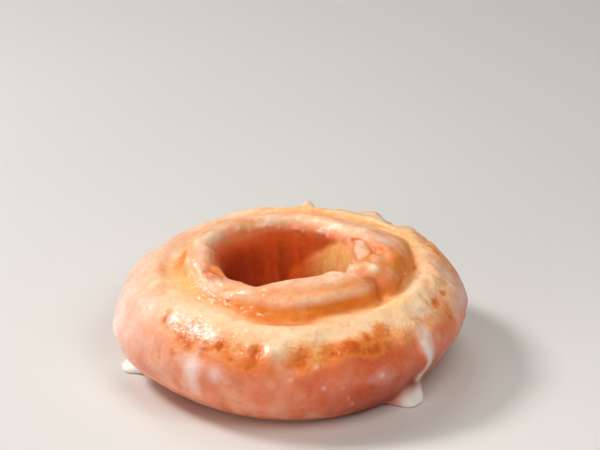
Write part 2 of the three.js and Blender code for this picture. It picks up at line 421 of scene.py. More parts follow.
def wrinkles(azimuth, on):
    """Height of the fine folds, in mm."""
    swayed = azimuth + layers(azimuth, on, WRINKLE_SWAY)
    total = np.zeros_like(azimuth)
    for at, wide, stretch, waves, high in WRINKLES:
        within = bell(wrap(azimuth - at), wide) * between(on, *stretch)
        total = total + high * within * noise(swayed, on, *waves)
    return total


def creases(azimuth, on):
    """Depth of the thin creases, in mm."""
    total = np.zeros_like(azimuth)
    for first, rise, length, fall, station, slope, curve, wide, deep in CREASES:
        along = wrap(azimuth - first)
        path = station + slope * along + curve * along**2
        total = total + deep * between(along, 0.0, rise, length, fall) * bell(on - path, wide)
    return total


def length_to(on):
    """Length along the section from its start, in mm."""
    return np.interp(on, range(COUNT), SECTION_LENGTHS)


def crack(azimuth, on, at, station, last_at, last_station, bow, wide):
    """1 along a fine bowed line between two places and 0 away from it, with widths in mm."""
    radius = np.interp(station, range(COUNT), SECTION_RADII)
    across = np.radians(wrap(azimuth - at)) * radius
    along = length_to(on) - length_to(station)
    goal_across = np.radians(wrap(last_at - at)) * radius
    goal_along = length_to(last_station) - length_to(station)
    reach = np.hypot(goal_across, goal_along)
    forward = (across * goal_across + along * goal_along) / reach
    part = np.clip(forward / reach, 0.0, 1.0)
    arch = 4.0 * part * (1.0 - part)
    sideways = (along * goal_across - across * goal_along) / reach - bow * arch
    return bell(np.hypot(sideways, forward - part * reach), wide)


def cracks(azimuth, on):
    """Depth of the fine cracks, in mm."""
    total = np.zeros_like(azimuth)
    for *places, bow, wide, deep in CRACKS:
        total = total + deep * crack(azimuth, on, *places, bow, wide)
    return np.minimum(total, DEEPEST_CRACK)


def fine_relief(azimuth, on):
    """What the skin adds to the solid's relief, in mm."""
    near_edge = bell(on - edge_line(azimuth), CRUMB_BAND)
    near_edge = near_edge * (1.0 - CRUMB_CALM * swell(azimuth, EDGE_CALM))
    out = near_edge * layers(azimuth, on, CRUMB) + layers(azimuth, on, BEADS)
    out = out + spots(azimuth, on, WET_PATCH) * layers(azimuth, on, WET_GRAINS)
    out = out + wrinkles(azimuth, on) - creases(azimuth, on) - cracks(azimuth, on)
    out = out + DROP_HEIGHT * spots(azimuth, on, DROPS) + spots(azimuth, on, SMALL_KNOBS)
    return between(on, *BODY_STRETCH) * out


def station_places(azimuth):
    """Radius and height of every station at each azimuth."""
    places = np.zeros((len(azimuth), COUNT, 2))
    for k, (_, radius, height, radii, heights) in enumerate(STATIONS):
        places[:, k, 0] = radius + swell(azimuth, radii)
        places[:, k, 1] = height + swell(azimuth, heights)
    for at, wide, at_base, at_flank, lift in FEET:
        here = plateau(wrap(azimuth - at), wide)
        places[:, NUMBER["base_outer"], 0] += at_base * here
        places[:, NUMBER["flank"], 0] += at_flank * here
        places[:, NUMBER["flank"], 1] += lift * here
    return places


def section(places, on):
    """The closed Catmull-Rom curve through the stations: places and tangents."""
    i = np.floor(on).astype(int)
    f = (on - i)[None, :, None]
    p0 = places[:, (i - 1) % COUNT]
    p1 = places[:, i % COUNT]
    p2 = places[:, (i + 1) % COUNT]
    p3 = places[:, (i + 2) % COUNT]
    b = p2 - p0
    c = 2 * p0 - 5 * p1 + 4 * p2 - p3
    d = -p0 + 3 * p1 - 3 * p2 + p3
    return 0.5 * (2 * p1 + b * f + c * f**2 + d * f**3), 0.5 * (b + 2 * c * f + 3 * d * f**2)


def surface(azimuth, on, fine):
    """Points in mm on a grid of azimuths by stations."""
    place, tangent = section(station_places(azimuth), on)
    normal = np.stack([-tangent[..., 1], tangent[..., 0]], -1)
    normal /= np.linalg.norm(normal, axis=-1, keepdims=True)
    a, t = np.meshgrid(azimuth, on, indexing="ij")
    out = relief(a, t) + (fine_relief(a, t) if fine else 0.0)
    place = place + normal * out[..., None]
    turn = np.radians(azimuth)[:, None]
    radius = place[..., 0]
    height = np.maximum(place[..., 1], 0.0)
    return np.stack([radius * np.cos(turn), radius * np.sin(turn), height], -1)


def solid_middle():
    """Middle of the solid's box before it is centred, in mm."""
    azimuth = np.arange(SOLID_AZIMUTHS) * 360.0 / SOLID_AZIMUTHS
    on = np.concatenate([k + np.arange(n) / n for k, n in enumerate(SOLID_FACETS)])
    points = surface(azimuth, on, fine=False).reshape(-1, 3)
    middle = (points.min(0) + points.max(0)) / 2
    return np.array([middle[0], middle[1], 0.0])


# Colours of the crust and the glaze, linear, and a few tones of painted light and shade
TONES = {
    "under": (0.62, 0.22, 0.08),
    "hole": (0.74, 0.13, 0.026),
    "hole_shade": (0.27, 0.023, 0.010),
    "hole_dim": (0.52, 0.085, 0.010),
    # Painted light on the hole's right wall, where the key light falls: a dimmer and a brighter
    # tone
    "hole_painted_lit": (0.95, 0.20, 0.028),
    "hole_painted_brightest": (1.0, 0.55, 0.20),
    "lip": (0.92, 0.38, 0.20),
    "collar": (0.90, 0.49, 0.29),
    "face": (0.82, 0.23, 0.03),
    "face_deep": (0.72, 0.20, 0.02),
    "valley": (0.90, 0.43, 0.18),
    "milk": (1.0, 0.82, 0.60),
    "custard": (1.0, 0.73, 0.48),
    "cream": (1.0, 0.65, 0.39),
    "peach": (0.97, 0.60, 0.34),
    "edge": (0.94, 0.44, 0.18),
    "rust": (0.86, 0.26, 0.085),
    "bark": (0.46, 0.12, 0.035),
    "side": (0.85, 0.25, 0.12),
    "side_low": (0.91, 0.33, 0.185),
    # Deeper patches of the side, and painted shade down the right side
    "side_deep_and_shade": (0.68, 0.13, 0.055),
    # Painted shade, low on the right side and under the run of glaze
    "side_shade": (0.40, 0.035, 0.012),
    "mauve": (0.76, 0.27, 0.17),
    "tan": (0.84, 0.46, 0.33),
    "clay": (0.86, 0.47, 0.27),
    "amber": (0.94, 0.44, 0.07),
    "blush": (0.92, 0.34, 0.18),
    "straw": (0.97, 0.60, 0.24),
}

# Which tone the section has at which station
TONE_STATIONS = [
    (0.0, "under"),
    (1.0, "hole"),
    (3.55, "hole"),
    (3.95, "lip"),
    (4.7, "collar"),
    (5.6, "collar"),
    (6.05, "valley"),
    (6.5, "collar"),
    (6.9, "face"),
    (7.5, "face"),
    (7.9, "valley"),
    (8.6, "cream"),
    (9.6, "cream"),
    (10.2, "edge"),
    (10.8, "rust"),
    (11.4, "side"),
    (13.0, "side_low"),
    (13.8, "side"),
    (15.0, "under"),
]

# Uneven patches: first and last station, patches to a turn, seed, and the paler and the deeper tone
MOTTLES = [
    (4.2, 6.4, 34, 35, "milk", "rust"),
    (7.8, 10.0, 44, 34, "custard", "clay"),
    (10.6, 14.0, 54, 33, "tan", "side_deep_and_shade"),
    (10.6, 14.0, 112, 36, "tan", "side_deep_and_shade"),
]

# Tones that lie over those: azimuth, station, half-width in degrees and in stations, tone,
# strength.
# Some rows are painted shade.
TINTS = [
    (168, 2.6, 66, 1.4, "hole_shade", 0.97),
    (110, 3.7, 60, 0.26, "hole", 0.95),
    (62, 3.55, 24, 0.3, "hole_dim", 0.85),
    (100, 4.05, 50, 0.13, "rust", 0.8),
    (140, 4.1, 30, 0.3, "rust", 0.8),
    (88, 4.5, 38, 0.3, "milk", 0.85),
    (352, 5.05, 26, 0.25, "face", 0.75),
    (8, 3.8, 24, 0.2, "face", 0.6),
    (348, 4.5, 24, 0.36, "clay", 0.85),
    # Painted shade low on the right side and under the run of glaze, in the next six rows
    (302, 13.2, 18, 0.9, "side_shade", 0.88),
    (302, 12.0, 16, 0.9, "side_shade", 0.35),
    (292, 12.3, 16, 0.9, "side_deep_and_shade", 0.6),
    (298, 10.75, 11, 0.6, "side_deep_and_shade", 0.9),
    (318, 12.8, 6, 0.6, "side_shade", 0.9),
    (328, 11.7, 7, 0.8, "side_deep_and_shade", 0.8),
    (345, 11.8, 24, 1.3, "mauve", 0.8),
    (200, 10.8, 30, 1.8, "tan", 0.85),
    (150, 10.0, 40, 1.5, "tan", 0.8),
    (2, 8.4, 36, 1.2, "peach", 0.9),
    (357, 7.4, 8, 0.35, "rust", 0.5),
    (0, 5.9, 24, 0.8, "blush", 0.6),
    (342, 6.2, 26, 1.0, "face", 0.95),
    (330, 6.25, 3.0, 0.25, "peach", 0.7),
    (326, 5.1, 6, 0.25, "face", 0.7),
    (323, 5.8, 3.2, 0.25, "cream", 0.95),
    (265.0, 10.15, 4.0, 0.4, "custard", 0.9),
    (256.0, 10.2, 1.5, 0.25, "cream", 0.9),
    (27, 6.9, 12, 0.6, "amber", 0.5),
    (353, 8.4, 14, 0.6, "clay", 0.6),
    (344, 9.4, 10, 0.5, "cream", 0.7),
    (356, 9.9, 8, 0.4, "cream", 0.6),
    (225, 11.4, 14, 0.8, "tan", 0.4),
    # Painted shade under the run of glaze
    (319, 12.2, 5, 0.5, "side_shade", 0.6),
    (278, 10.4, 2.0, 0.4, "straw", 0.6),
    (262, 7.4, 13, 0.6, "face_deep", 0.7),
    (256, 5.8, 13, 0.7, "rust", 0.55),
    (193, 5.6, 12, 0.7, "tan", 0.5),
    (212, 5.1, 11, 0.5, "bark", 0.9),
    (218, 5.45, 8, 0.35, "bark", 0.9),
    # Painted shade on the upper right side
    (298, 10.6, 8, 0.4, "side_shade", 0.42),
    (268, 9.5, 12, 0.4, "custard", 0.6),
    (296, 8.4, 10, 0.45, "clay", 0.6),
    (100, 11.0, 60, 0.5, "rust", 0.7),
    (186, 8.6, 8, 0.3, "rust", 0.7),
    (201, 8.9, 5, 0.3, "rust", 0.4),
    (314, 10.2, 3.5, 0.3, "cream", 0.7),
    (319, 10.1, 4, 0.35, "peach", 0.7),
    # Painted shade low on the front right
    (292, 12.6, 14, 0.8, "side_shade", 0.25),
    (16, 9.6, 14, 0.6, "edge", 0.8),
    (325, 9.6, 9, 0.5, "cream", 0.9),
    (318, 8.8, 8, 0.5, "straw", 0.6),
    (205, 7.4, 24, 1.1, "straw", 0.7),
    (268, 8.2, 15, 0.5, "face_deep", 0.9),
    (45, 8.1, 28, 0.6, "amber", 0.5),
    (40, 8.5, 20, 0.5, "straw", 0.6),
    (246, 6.3, 5, 0.3, "cream", 0.7),
    (28, 8.45, 12, 0.5, "edge", 0.75),
    (288, 5.1, 34, 0.45, "milk", 0.32),
    (290, 6.1, 26, 0.19, "rust", 0.5),
    (313, 8.0, 7, 0.28, "face", 0.8),
    (333, 7.7, 9, 0.3, "face", 0.6),
    (287, 6.52, 20, 0.17, "milk", 0.35),
    (4, 9.2, 18, 0.7, "clay", 0.35),
    (10, 7.2, 10, 0.3, "bark", 0.45),
    (124, 4.7, 10, 0.25, "edge", 0.6),
    (163, 4.85, 13, 0.5, "milk", 0.8),
    (172, 3.88, 12, 0.25, "hole", 0.8),
    (30, 5.0, 12, 0.35, "milk", 0.5),
    (90, 8.8, 30, 0.7, "amber", 0.3),
]

# Where the crust browned: azimuth, station, half-width in degrees and in stations, strength
BROWN_SPOTS = [
    (219.0, 10.0, 1.5, 0.3, 0.8),
    (229.0, 10.96, 2.0, 0.2, 0.6),
    (224.0, 11.36, 1.6, 0.2, 0.5),
    (230.5, 10.36, 2.8, 0.18, 0.8),
    (235.0, 10.6, 2.8, 0.2, 0.8),
    (240.0, 10.85, 2.5, 0.2, 0.7),
    (240.0, 10.5, 1.6, 0.2, 0.6),
    (217.0, 5.1, 7.0, 0.35, 0.6),
    (60.0, 10.7, 4.0, 0.3, 0.7),
    (73.0, 10.9, 3.0, 0.3, 0.6),
    (97.0, 10.6, 5.0, 0.3, 0.7),
    (113.0, 10.8, 4.0, 0.3, 0.6),
    (134.0, 10.6, 5.0, 0.3, 0.7),
    (151.0, 10.9, 3.5, 0.25, 0.6),
    (298.0, 10.5, 4.0, 0.35, 0.75),
    (258.6, 10.4, 1.8, 0.4, 0.9),
    (265.5, 10.3, 3.5, 0.4, -0.4),
    (256.2, 10.9, 1.8, 0.25, 0.7),
    (248.0, 7.75, 5.0, 0.15, 0.7),
    (251.0, 10.8, 4.0, 0.3, 0.4),
    (245.0, 10.2, 1.6, 0.2, 0.8),
    (273.0, 10.6, 2.4, 0.45, 0.6),
    (285.0, 10.3, 3.5, 0.3, 0.6),
    (291.0, 10.2, 3.0, 0.3, 0.8),
    (297.0, 9.92, 1.2, 0.15, 0.7),
    (303.0, 9.8, 3.5, 0.3, 0.6),
    (18.0, 9.5, 8.0, 0.5, 0.35),
    (335.0, 9.9, 2.4, 0.22, 0.6),
    (342.0, 9.95, 1.5, 0.2, 0.5),
    (354.0, 10.3, 2.2, 0.2, 0.6),
    (12.0, 9.7, 4.0, 0.3, 0.5),
    (28.0, 9.6, 4.0, 0.4, 0.4),
    (353.0, 7.6, 3.0, 0.3, 0.9),
    (344.0, 7.0, 2.5, 0.25, 0.7),
    (336.0, 10.8, 1.5, 0.25, 0.8),
    (344.0, 11.24, 1.6, 0.3, 0.8),
]

# Whitish, thicker glaze: azimuth, station, half-width in degrees and in stations, strength.
# Below zero, the glaze is thin and clear there. Some rows are painted highlights, marked below.
VEIL_AND_GLINT_SPOTS = [
    (263.0, 10.35, 1.8, 0.4, 0.12),
    (266.4, 10.02, 2.0, 0.3, 0.15),
    # Painted highlights in the next five rows: the grainy wet patch and glints on the shoulder and
    # lobe
    (234.0, 9.86, 8.0, 0.3, 0.45),
    (222.0, 9.76, 1.8, 0.22, 0.7),
    (241.0, 10.0, 3.0, 0.22, 0.4),
    (205.0, 6.0, 8.0, 0.2, 0.2),
    (223.0, 6.95, 7.0, 0.25, 0.25),
    (356.0, 9.9, 8.0, 0.4, 0.25),
    (186.0, 10.2, 16.0, 1.2, 0.2),
    (62.0, 12.0, 5.0, 1.1, 0.5),
    (96.0, 12.4, 3.5, 0.7, 0.4),
    (122.0, 11.8, 6.0, 0.9, 0.4),
    (324.0, 9.7, 6.0, 0.4, 0.22),
    (165.0, 8.6, 16.0, 1.0, 0.15),
    (112.0, 9.2, 18.0, 0.6, 0.32),
    (83.0, 9.7, 4.0, 0.5, 0.35),
    (56.0, 9.6, 14.0, 0.5, 0.15),
    (10.0, 5.6, 18.0, 0.6, 0.25),
    (300.0, 11.9, 7.0, 0.5, 0.3),
    (323.0, 5.8, 3.2, 0.24, 0.5),
    # A painted glint on the edge of the right lobe
    (344.0, 6.9, 1.2, 0.2, 0.7),
    (354.0, 4.38, 18.0, 0.25, 0.18),
    (192.0, 12.3, 10.0, 1.2, 0.5),
    (238.0, 11.6, 3.0, 0.8, 0.65),
    (246.0, 11.4, 2.4, 0.45, 0.4),
    (209.0, 10.0, 12.0, 0.5, 0.3),
    (354.0, 10.95, 18.0, 0.7, 0.42),
    (297.0, 10.6, 13.0, 0.6, -0.22),
    (302.0, 13.2, 16.0, 0.8, -0.12),
    (328.0, 6.4, 12.0, 0.6, -0.18),
    (303.0, 6.7, 10.0, 0.5, -0.15),
    (217.0, 5.35, 7.0, 0.3, -0.2),
    (95.0, 2.8, 40.0, 1.0, -0.1),
]

# Where the glaze is wet enough to glint: azimuth, station, half-widths, strength
GLOSS_SPOTS = [
    (233, 9.83, 9, 0.35, 0.9),
    (222, 9.76, 2, 0.25, 0.8),
    (199, 9.9, 3, 0.3, 0.3),
    (263.0, 10.3, 2.0, 0.45, 1.0),
    (266.5, 10.0, 2.0, 0.35, 1.0),
    (255.7, 10.2, 1.6, 0.3, 1.0),
    (216, 6.6, 18, 1.2, 0.5),
    (204, 6.0, 9, 0.25, 0.6),
    (222, 6.9, 9, 0.35, 0.6),
    (241, 10.0, 4, 0.25, 0.6),
    (98, 4.0, 34, 0.25, 0.9),
    (240, 6.8, 14, 0.8, 0.4),
    (320, 6.0, 20, 1.0, 0.2),
    (60, 9.5, 30, 0.8, 0.3),
    (130, 9.5, 30, 0.8, 0.3),
    (20, 5.5, 20, 0.6, 0.3),
    (150, 5.5, 20, 0.6, 0.3),
]

# How brown the broken edge is round the ring, how far inside its line the browning lies, and how
# wide it is. Cracks are browned as well.
EDGE_BROWNING = [(262, 45, 0.15), (20, 30, -0.15), (185, 20, -0.15)]
EDGE_BROWN = 0.22
BROWN_INSIDE = 0.1
BROWN_BAND = 0.55
CRACK_BROWN = 1.4

# How far one tone runs raggedly into the next: everywhere, and more near the browned edge
RAGGED_ALL = 0.1
RAGGED_EDGE = 0.32
RAGGED_STATION = 10.4
RAGGED_SPREAD = 0.9
RAGGED_NOISE = [(1.0, 42, 0.8, 21), (0.5, 96, 2.2, 26)]

# Streaks down the wall of the hole
HOLE_STATION = 2.6
HOLE_SPREAD = 1.1
HOLE_STREAKS = [(0.22, 76, 0.35, 31)]

# How softly the mottled stretches start and end, patches to a station, and strength
MOTTLE_FADE = 0.6
MOTTLE_CELLS = 1.3
MOTTLE_STRENGTH = 0.5

# The depths in mm at which a furrow and a crack have their full tint, and its strength
FURROW_DEPTH = 0.16
FURROW_TINT = 0.65
CRACK_DEPTH = 0.4
CRACK_TINT = 0.55

# Painted light on the hole's right wall and part of its back wall, where the key light falls:
# first azimuth, rise, last azimuth and fall, then its rise from the bottom in stations. Its upper
# edge passes one station at one azimuth, and climbs towards the right as far as the highest
# station.
PAINTED_LIT_WALL = (-20.0, 30.0, 95.0, 8.0)
PAINTED_LIT_RISE = 1.0
PAINTED_LIT_TOP = 2.75
PAINTED_LIT_TOP_AZIMUTH = 86.0
PAINTED_LIT_TOP_SLOPE = 0.027
PAINTED_LIT_TOP_HIGHEST = 4.0
PAINTED_LIT_TOP_FADE = 0.3
PAINTED_LIT_TINT = 0.95

# The painted light gets brighter from this azimuth towards the right, over so many degrees, with
# darker streaks
BRIGHTER_FROM = 90.0
BRIGHTER_OVER = 40.0
PAINTED_LIT_STREAKS = [(0.4, 84, 0.4, 37)]

# White of the drizzle on the first run: shift in degrees, share of the run's width, start after
# the run's own, last station and strength. Its sway in degrees is a layer of noise.
DRIZZLE = [(0.0, 0.7, 0.8, 13.3, 0.7), (1.0, 1.2, 0.3, 12.8, 0.5)]
DRIZZLE_SWAY = [(0.5, 40, 1.2, 27)]

# The stretch of a foot that is white, and how white a drop of strength 1 is. The drops' white is
# partly painted highlight, where the glaze glints on the left lobe, the back lip and the side.
FOOT_STRETCH = (12.9, 0.6, 14.9, 0.3)
DROP_WHITE_AND_GLINT = 0.6

# White of the thin coat: the same everywhere, uneven, and in broken streaks down both sides
THIN_ALL = 0.01
THIN_NOISE = [(0.08, 18, 0.9, 25)]
STREAK_SIDES = [(185, 40, 1.0), (350, 30, 0.5)]
STREAK_STRETCH = (9.8, 1.2, 14.4, 0.8)
STREAK_LINES = (84, 0.35, 29)
STREAK_BREAKS = (30, 0.7, 30)
STREAK_STRENGTH = 0.34

# The least that all the white comes to
CLEAREST = -0.2

# Gloss everywhere, its unevenness, and the stretch of the deep hole that lacks a share of it
GLOSS_ALL = 0.13
GLOSS_NOISE = [(0.1, 40, 1.6, 28)]
DEEP_STRETCH = (0.5, 0.5, 4.0, 0.5)
DEEP_LACK = 0.8

# Where the glaze is broken into beads, in the same form as KNOBS, and along the broken edge
GRAIN_SPOTS = [(233, 9.83, 10, 0.4, 1.0), (218, 6.6, 20, 1.1, 0.8)]
GRAIN_EDGE = 0.4
GRAIN_BAND = 0.6


def toward(colour, target, amount):
    """The colour, moved towards a target by an amount for each place."""
    return colour + amount[..., None] * (np.array(target) - colour)


def painted_lit_wall(azimuth, on):
    """Painted light on the hole's right wall and part of its back wall: where it lies, and how
    bright.
    """
    round_hole = wrap(azimuth)
    top = PAINTED_LIT_TOP + PAINTED_LIT_TOP_SLOPE * (PAINTED_LIT_TOP_AZIMUTH - round_hole)
    below_top = between(on, 0.0, PAINTED_LIT_RISE, np.minimum(top, PAINTED_LIT_TOP_HIGHEST), PAINTED_LIT_TOP_FADE)
    streaks = 1.0 + np.minimum(layers(azimuth, on, PAINTED_LIT_STREAKS), 0.0)
    painted_brightness = smooth((BRIGHTER_FROM - round_hole) / BRIGHTER_OVER) * streaks
    return between(round_hole, *PAINTED_LIT_WALL) * below_top, painted_brightness


def tone(azimuth, on):
    """The crust's colour along the section, a little uneven round the ring, with painted shade in
    the hole and down the right side, and painted light on the hole's right wall.
    """
    ragged = RAGGED_ALL + RAGGED_EDGE * bell(on - RAGGED_STATION, RAGGED_SPREAD)
    shifted = on + ragged * layers(azimuth, on, RAGGED_NOISE)
    stations = [station for station, _ in TONE_STATIONS]
    channels = zip(*(TONES[name] for _, name in TONE_STATIONS))
    colour = np.stack([np.interp(shifted, stations, channel) for channel in channels], -1)
    streaks = bell(on - HOLE_STATION, HOLE_SPREAD) * layers(azimuth, on, HOLE_STREAKS)
    colour = colour * (1.0 + streaks[..., None])
    for first, last, around, seed, pale, deep in MOTTLES:
        within = between(on, first, MOTTLE_FADE, last, MOTTLE_FADE)
        patch = MOTTLE_STRENGTH * within * noise(azimuth, on, around, MOTTLE_CELLS, seed)
        colour = toward(colour, TONES[pale], np.maximum(patch, 0.0))
        colour = toward(colour, TONES[deep], np.maximum(-patch, 0.0))
    furrow = smooth(-wrinkles(azimuth, on) / FURROW_DEPTH)
    colour = toward(colour, TONES["rust"], FURROW_TINT * furrow)
    for at, station, wide, tall, name, by in TINTS:
        colour = toward(colour, TONES[name], spots(azimuth, on, [(at, station, wide, tall, by)]))
    split = np.minimum(cracks(azimuth, on) / CRACK_DEPTH, 1.0)
    colour = toward(colour, TONES["bark"], CRACK_TINT * split)
    # Painted light where the key light falls on the hole's right wall, brighter towards the right
    here, painted_brightness = painted_lit_wall(azimuth, on)
    wall = toward(np.array(TONES["hole_painted_lit"]), TONES["hole_painted_brightest"], painted_brightness)
    return toward(colour, wall, PAINTED_LIT_TINT * here)


def brown(azimuth, on):
    """How much of the crust is browned here. The material breaks it into ragged patches."""
    band = bell(on - edge_line(azimuth) + BROWN_INSIDE, BROWN_BAND)
    total = band * (EDGE_BROWN + swell(azimuth, EDGE_BROWNING))
    total = total + CRACK_BROWN * cracks(azimuth, on) + spots(azimuth, on, BROWN_SPOTS)
    return np.clip(total, 0.0, 1.0)


def veil_and_glints(azimuth, on):
    """How thick and white the glaze lies, with painted highlights in some drops and spots. Below
    zero it is clearer than the thin coat.
    """
    swayed = azimuth + layers(azimuth, on, DRIZZLE_SWAY)
    at, bend, wide, first, _, _ = RUNS[0]
    thick = np.zeros_like(azimuth)
    for shift, share, start, last, white in DRIZZLE:
        line = run(swayed, on, at + shift, bend, share * wide, first + start, last, white)
        thick = np.maximum(thick, line)
    for at, wide, *_ in FEET:
        thick = np.maximum(thick, plateau(wrap(azimuth - at), wide) * between(on, *FOOT_STRETCH))
    sides = swell(azimuth, STREAK_SIDES) * between(on, *STREAK_STRETCH)
    streaks = 0.5 + 0.5 * noise(azimuth, on, *STREAK_LINES) * noise(azimuth, on, *STREAK_BREAKS)
    thin = THIN_ALL + layers(azimuth, on, THIN_NOISE) + STREAK_STRENGTH * sides * streaks
    # Drops and spots of white glaze, in part painted highlights
    added = DROP_WHITE_AND_GLINT * spots(azimuth, on, DROPS) + spots(azimuth, on, VEIL_AND_GLINT_SPOTS)
    return np.clip(thick + added + thin, CLEAREST, 1.0)


def gloss(azimuth, on):
    """How wet the glaze looks."""
    wet = GLOSS_ALL + layers(azimuth, on, GLOSS_NOISE)
    wet = wet + spots(azimuth, on, GLOSS_SPOTS) + spots(azimuth, on, DROPS)
    return np.clip(wet * (1.0 - DEEP_LACK * between(on, *DEEP_STRETCH)), 0.0, 1.0)


def grain(azimuth, on):
    """Where the wet glaze is broken into fine beads. Where there is most, the material also paints
    white grains as glints.
    """
    band = GRAIN_EDGE * bell(on - edge_line(azimuth), GRAIN_BAND)
    return np.clip(spots(azimuth, on, GRAIN_SPOTS) + band, 0.0, 1.0)


def grid_faces(columns, rows):
    """Quads of a grid that closes both ways, wound to face outwards."""
    i, j = np.meshgrid(np.arange(columns), np.arange(rows), indexing="ij")
    i1 = (i + 1) % columns
    j1 = (j + 1) % rows
    corners = [i * rows + j, i * rows + j1, i1 * rows + j1, i1 * rows + j]
    return np.stack(corners, -1).reshape(-1, 4)


def add_attribute(mesh, name, kind, values):
    attribute = mesh.attributes.new(name, kind, "POINT")
    key = "color" if kind == "FLOAT_COLOR" else "value"
    attribute.data.foreach_set(key, np.ascontiguousarray(values, dtype=np.float32).ravel())


def build_skin():
    azimuth = np.arange(SKIN_AZIMUTHS) * 360.0 / SKIN_AZIMUTHS
    on = np.concatenate([np.linspace(a, b, steps, endpoint=False) for a, b, steps in SKIN_BANDS])
    points = (surface(azimuth, on, fine=True) - solid_middle()) * MM
    mesh = bpy.data.meshes.new("glazed_skin")
    faces = grid_faces(SKIN_AZIMUTHS, len(on))
    mesh.from_pydata(points.reshape(-1, 3).tolist(), [], faces.tolist())
    mesh.shade_smooth()
    a, t = np.meshgrid(azimuth, on, indexing="ij")
    rgb = tone(a, t)
    rgba = np.concatenate([rgb, np.ones_like(rgb[..., :1])], -1)
    add_attribute(mesh, "tone", "FLOAT_COLOR", rgba)
    for name, mask in (("brown", brown), ("veil_and_glints", veil_and_glints), ("grain", grain), ("gloss", gloss)):
        add_attribute(mesh, name, "FLOAT", mask(a, t))
    skin = bpy.data.objects.new("glazed_skin", mesh)
    bpy.context.scene.collection.objects.link(skin)
    return skin


# Sockets of the Mix node for colours
MIX_FACTOR = 0
MIX_FIRST = 6
MIX_SECOND = 7
MIX_RESULT = 2


class Nodes:
    """Short calls for building a node tree."""

    def __init__(self, material):
        self.tree = material.node_tree

    def add(self, kind, inputs=None, **settings):
        node = self.tree.nodes.new(kind)
        for key, value in settings.items():
            setattr(node, key, value)
        for key, value in (inputs or {}).items():
            self.feed(node, key, value)
        return node

    def feed(self, node, key, value):
        if isinstance(value, bpy.types.NodeSocket):
            self.tree.links.new(value, node.inputs[key])
        else:
            node.inputs[key].default_value = value

    def attribute(self, name, output="Fac"):
        return self.add("ShaderNodeAttribute", attribute_name=name).outputs[output]

    def mix(self, factor, first, second, blend="MIX"):
        inputs = {MIX_FACTOR: factor, MIX_FIRST: first, MIX_SECOND: second}
        node = self.add("ShaderNodeMix", inputs, data_type="RGBA", blend_type=blend)
        return node.outputs[MIX_RESULT]

    def math(self, operation, a, b):
        return self.add("ShaderNodeMath", {0: a, 1: b}, operation=operation).outputs[0]

    def noise(self, where, scale, detail, roughness):
        inputs = {"Vector": where, "Scale": scale, "Detail": detail, "Roughness": roughness}
        return self.add("ShaderNodeTexNoise", inputs).outputs["Fac"]

    def bump(self, height, strength, distance, normal=None):
        inputs = {"Height": height, "Strength": strength, "Distance": distance}
        if normal is not None:
            inputs["Normal"] = normal
        return self.add("ShaderNodeBump", inputs).outputs[0]

    def stretch(self, value, low, high, to_low, to_high):
        """The value, stretched from one range to another and held inside it."""
        inputs = {0: value, 1: low, 2: high, 3: to_low, 4: to_high}
        return self.add("ShaderNodeMapRange", inputs, clamp=True).outputs[0]


# What the crust's tones are multiplied by where they are lighter and darker
LIGHTER = (1.03, 1.13, 1.18, 1.0)
DARKER = (0.94, 0.66, 0.44, 1.0)

# The browned crust, the toasted places in it, and thick glaze
AMBER_CRUST = (0.84, 0.25, 0.05, 1.0)
TOASTED_CRUST = (0.60, 0.10, 0.012, 1.0)
THICK_GLAZE = (1.0, 0.94, 0.90, 1.0)

# The shader's values that are the same all over the doughnut
DOUGH_SHADER = {
    "Specular IOR Level": 0.12,
    "Coat Roughness": 0.1,
    "Coat IOR": 1.45,
    "Subsurface Weight": 0.5,
    "Subsurface Radius": (1.0, 0.35, 0.15),
    "Subsurface Scale": 0.0018,
}


